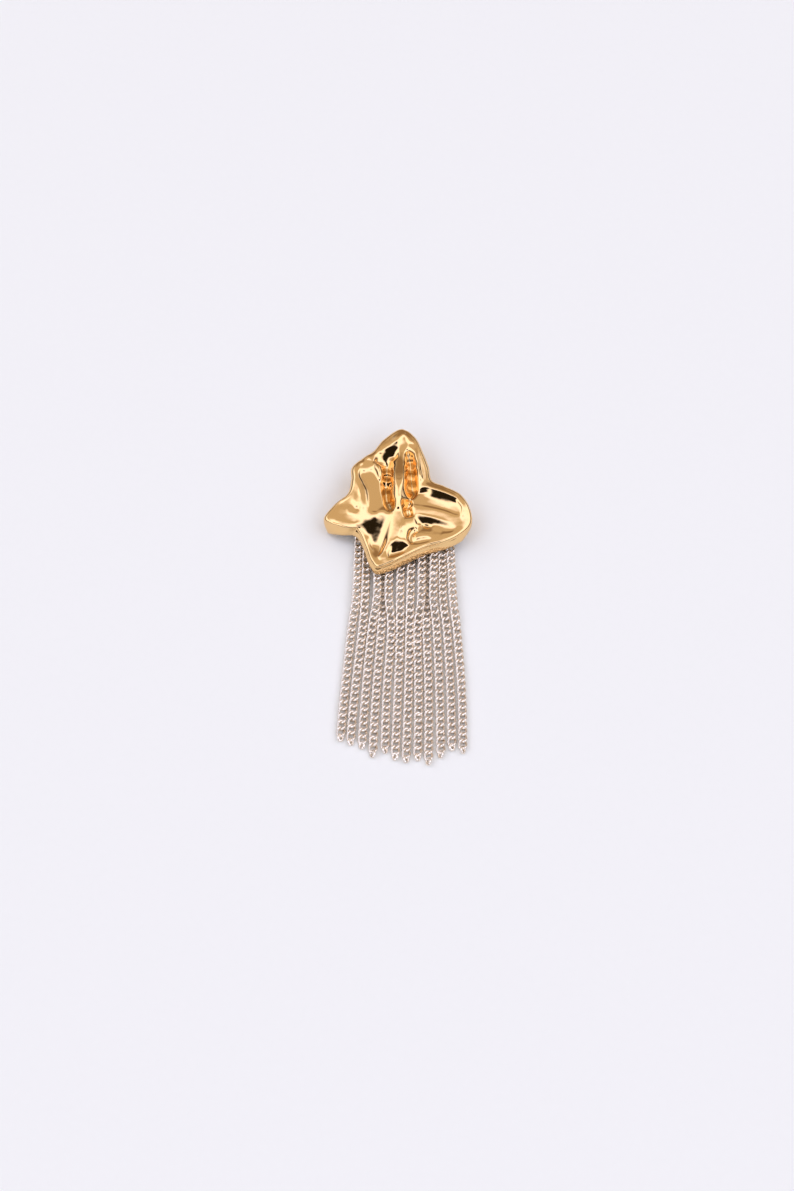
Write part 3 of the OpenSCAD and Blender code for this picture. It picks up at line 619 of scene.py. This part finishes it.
class HeadSettings(bpy.types.PropertyGroup):
    """Sizes and finish of the folded head"""
    face_z: bpy.props.FloatProperty(
        name="Face height", description="Middle height of the folded face",
        default=4.7 * MM, unit="LENGTH")
    fold_scale: bpy.props.FloatProperty(
        name="Fold depth", description="Depth of the folds as a share of the drawn one",
        default=1.0, subtype="FACTOR", min=0.5, max=1.5)
    valley_z: bpy.props.FloatProperty(
        name="Valley height", description="Height of the face's deepest valleys",
        default=3.6 * MM, unit="LENGTH")
    edge_r: bpy.props.FloatProperty(
        name="Edge radius", description="Radius of the rounded edge",
        default=0.9 * MM, unit="LENGTH")
    near_edge_r: bpy.props.FloatProperty(
        name="Near edge radius", description="Radius of the edge on the chain side",
        default=0.4 * MM, unit="LENGTH")
    near_lean: bpy.props.FloatProperty(
        name="Near lean", description="Amount that the chain side's wall leans in at the top",
        default=0.6 * MM, unit="LENGTH")
    near_foot_in: bpy.props.FloatProperty(
        name="Near foot inset", description="Amount that the chain side's wall draws in below",
        default=0.1 * MM, unit="LENGTH")
    foot_in: bpy.props.FloatProperty(
        name="Foot inset", description="Amount that the side draws in",
        default=1.2 * MM, unit="LENGTH")
    foot_w: bpy.props.FloatProperty(
        name="Foot width", description="Width of the flat foot",
        default=1.0 * MM, unit="LENGTH")
    wall: bpy.props.FloatProperty(
        name="Wall", description="Thickness of the cast wall",
        default=0.9 * MM, unit="LENGTH")
    gold: bpy.props.FloatVectorProperty(
        name="Gold", description="Colour of the polished gold",
        default=(0.885, 0.575, 0.25), subtype="COLOR", min=0, max=1)
    roughness: bpy.props.FloatProperty(
        name="Gold roughness", description="Roughness of the polished gold",
        default=0.07, subtype="FACTOR", min=0, max=1)


class FringeSettings(bpy.types.PropertyGroup):
    """Sizes and finish of the chains"""
    wire_d: bpy.props.FloatProperty(
        name="Wire", description="Diameter of the links' wire",
        default=0.4 * MM, unit="LENGTH")
    link_w: bpy.props.FloatProperty(
        name="Link width", description="Width of a link across the chain",
        default=1.52 * MM, unit="LENGTH")
    link_l: bpy.props.FloatProperty(
        name="Link length", description="Length of a link along the chain",
        default=1.92 * MM, unit="LENGTH")
    twist: bpy.props.FloatProperty(
        name="Twist", description="Rise and fall of a link's wire",
        default=0.225 * MM, unit="LENGTH")
    pitch: bpy.props.FloatProperty(
        name="Pitch", description="Distance between neighbouring links",
        default=1.13 * MM, unit="LENGTH")
    silver: bpy.props.FloatVectorProperty(
        name="Silver", description="Colour of the chains",
        default=(0.97, 0.875, 0.76), subtype="COLOR", min=0, max=1)
    roughness: bpy.props.FloatProperty(
        name="Silver roughness", description="Roughness of the chains",
        default=0.16, subtype="FACTOR", min=0, max=1)


class StageSettings(bpy.types.PropertyGroup):
    """Floor, light and camera"""
    floor_colour: bpy.props.FloatVectorProperty(
        name="Floor", description="Colour of the pale floor",
        default=(0.955, 0.945, 0.87), subtype="COLOR", min=0, max=1)
    tent: bpy.props.FloatProperty(
        name="Tent light", description="Strength of the light tent",
        default=1.0, subtype="UNSIGNED", min=0)
    lens: bpy.props.FloatProperty(
        name="Lens", description="Focal length of the camera",
        default=60.85, subtype="DISTANCE_CAMERA")


def lengths(settings, *names):
    """The named length settings in millimetres."""
    return {name: getattr(settings, name) / MM for name in names}


class BROOCH_OT_head(bpy.types.Operator):
    """Builds the folded gold head"""
    bl_idname = "brooch.head"
    bl_label = "Folded head"

    def execute(self, context):
        s = context.scene.brooch_head
        p = lengths(s, "face_z", "valley_z", "edge_r", "near_edge_r", "near_lean", "near_foot_in",
                    "foot_in", "foot_w", "wall")
        p["fold_scale"] = s.fold_scale
        gold = metal("polished_gold", tuple(s.gold), s.roughness)
        verts, faces = closed_rings(*head_points(p))
        head = mesh_piece("folded_head", verts, faces, gold)
        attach(head, "root")
        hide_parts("head")
        return {"FINISHED"}


class BROOCH_OT_fringe(bpy.types.Operator):
    """Builds the twelve curb chains of the fringe"""
    bl_idname = "brooch.fringe"
    bl_label = "Chain fringe"

    def execute(self, context):
        s = context.scene.brooch_fringe
        p = lengths(s, "wire_d", "link_w", "link_l", "twist", "pitch")
        silver = metal("silver_chain", tuple(s.silver), s.roughness)
        for number, row in enumerate(STRANDS, 1):
            verts, faces = strand_points(number, row, p)
            chain = mesh_piece(f"curb_chain_{number:02d}", verts, faces, silver)
            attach(chain, "root")
            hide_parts(f"strand_{number:02d}")
        return {"FINISHED"}


class BROOCH_OT_fittings(bpy.types.Operator):
    """Gives the rail and the bar pin their metal"""
    bl_idname = "brooch.fittings"
    bl_label = "Back fittings"

    def execute(self, context):
        brushed = metal("back_gold", BACK_GOLD, BACK_ROUGHNESS)
        for name in ("chain_rail", "pin_back"):
            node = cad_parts[name]
            node.data.materials.clear()
            node.data.materials.append(brushed)
        return {"FINISHED"}


def world_mask(tree, ray, direction, inner, outer):
    """Mask that is 1 within inner degrees of a direction and 0 beyond outer degrees."""
    nodes, links = tree.nodes, tree.links
    dot = nodes.new("ShaderNodeVectorMath")
    dot.operation = "DOT_PRODUCT"
    dot.inputs[1].default_value = Vector(direction).normalized()
    links.new(ray, dot.inputs[0])
    angle = nodes.new("ShaderNodeMath")
    angle.operation = "ARCCOSINE"
    links.new(dot.outputs["Value"], angle.inputs[0])
    ramp = nodes.new("ShaderNodeMapRange")
    ramp.interpolation_type = "SMOOTHSTEP"
    ramp.inputs["From Min"].default_value = math.radians(inner)
    ramp.inputs["From Max"].default_value = math.radians(outer)
    ramp.inputs["To Min"].default_value = 1
    ramp.inputs["To Max"].default_value = 0
    links.new(angle.outputs[0], ramp.inputs["Value"])
    return ramp.outputs["Result"]


class BROOCH_OT_stage(bpy.types.Operator):
    """Sets the floor, the light tent and the camera"""
    bl_idname = "brooch.stage"
    bl_label = "Stage"

    def execute(self, context):
        s = context.scene.brooch_stage
        self.floor(tuple(s.floor_colour))
        self.tent(s.tent)
        self.camera(s.lens)
        return {"FINISHED"}

    def floor(self, colour):
        """Lays the pale floor with its fine grain"""
        material, tree = new_material("pale_floor", colour)
        shader = tree.nodes["Principled BSDF"]
        shader.inputs["Roughness"].default_value = FLOOR_ROUGHNESS
        place = tree.nodes.new("ShaderNodeTexCoord")
        grain = tree.nodes.new("ShaderNodeTexNoise")
        grain.inputs["Scale"].default_value = GRAIN_SCALE
        tree.links.new(place.outputs["Object"], grain.inputs["Vector"])
        shade = tuple(c * GRAIN_SHADE for c in colour)
        tone = blend(tree, grain.outputs["Fac"], shade, colour)
        tree.links.new(tone, shader.inputs["Base Color"])
        corners = [(-1, -1), (1, -1), (1, 1), (-1, 1)]
        verts = [(x * FLOOR_HALF, y * FLOOR_HALF, 0) for x, y in corners]
        mesh_piece("floor", verts, [(0, 1, 2, 3)], material)

    def tent(self, strength):
        """Lights the brooch from the tent, and shows a pale backdrop beyond the floor"""
        world = bpy.data.worlds.new("light_tent")
        world.use_nodes = True
        tree = world.node_tree
        back = tree.nodes["Background"]
        back.inputs["Strength"].default_value = strength
        ray = tree.nodes.new("ShaderNodeTexCoord").outputs["Generated"]
        light = HORIZON
        for direction, inner, outer, tone in TENT:
            light = blend(tree, world_mask(tree, ray, direction, inner, outer), light, tone)
        seen = tree.nodes.new("ShaderNodeLightPath").outputs["Is Camera Ray"]
        tree.links.new(blend(tree, seen, light, BACKDROP), back.inputs["Color"])
        bpy.context.scene.world = world
        bpy.context.scene.view_settings.view_transform = "Standard"

    def camera(self, lens):
        """Sets the camera up at the photo's angle"""
        data = bpy.data.cameras.new("camera")
        data.lens = lens
        data.clip_start, data.clip_end = VIEW_RANGE
        camera = bpy.data.objects.new("camera", data)
        bpy.context.collection.objects.link(camera)
        down, roll = math.radians(CAMERA_DOWN), math.radians(CAMERA_ROLL)
        forward = Vector((0, math.cos(down), -math.sin(down)))
        right = Vector((1, 0, 0))
        up = right.cross(forward)
        tilted = right * math.cos(roll) + up * math.sin(roll)
        basis = Matrix((tilted, tilted.cross(forward), -forward)).transposed()
        camera.matrix_world = Matrix.Translation(Vector(CAMERA_AT) * MM) @ basis.to_4x4()
        bpy.context.scene.camera = camera


class BROOCH_PT_panel(bpy.types.Panel):
    """Lists the brooch's settings and its pieces"""
    bl_idname = "BROOCH_PT_panel"
    bl_label = "Brooch"
    bl_space_type = "VIEW_3D"
    bl_region_type = "UI"
    bl_category = "Brooch"

    def draw(self, context):
        for name, group in SETTINGS.items():
            box = self.layout.box()
            for setting in group.__annotations__:
                box.prop(getattr(context.scene, name), setting)
        for operator in OPERATORS:
            self.layout.operator(operator.bl_idname)


OPERATORS = (BROOCH_OT_head, BROOCH_OT_fringe, BROOCH_OT_fittings, BROOCH_OT_stage)
SETTINGS = {
    "brooch_head": HeadSettings,
    "brooch_fringe": FringeSettings,
    "brooch_stage": StageSettings,
}
CLASSES = (*SETTINGS.values(), *OPERATORS, BROOCH_PT_panel)


def register():
    """Makes the brooch's settings, steps and panel known to Blender."""
    for cls in CLASSES:
        bpy.utils.register_class(cls)
    for name, group in SETTINGS.items():
        setattr(bpy.types.Scene, name, bpy.props.PointerProperty(type=group))


def unregister():
    """Takes away what register made known."""
    for name in SETTINGS:
        delattr(bpy.types.Scene, name)
    for cls in reversed(CLASSES):
        bpy.utils.unregister_class(cls)


def main():
    """Builds the brooch on its stage."""
    register()
    bpy.ops.brooch.head()
    bpy.ops.brooch.fringe()
    bpy.ops.brooch.fittings()
    bpy.ops.brooch.stage()


if __name__ == "__main__":
    main()
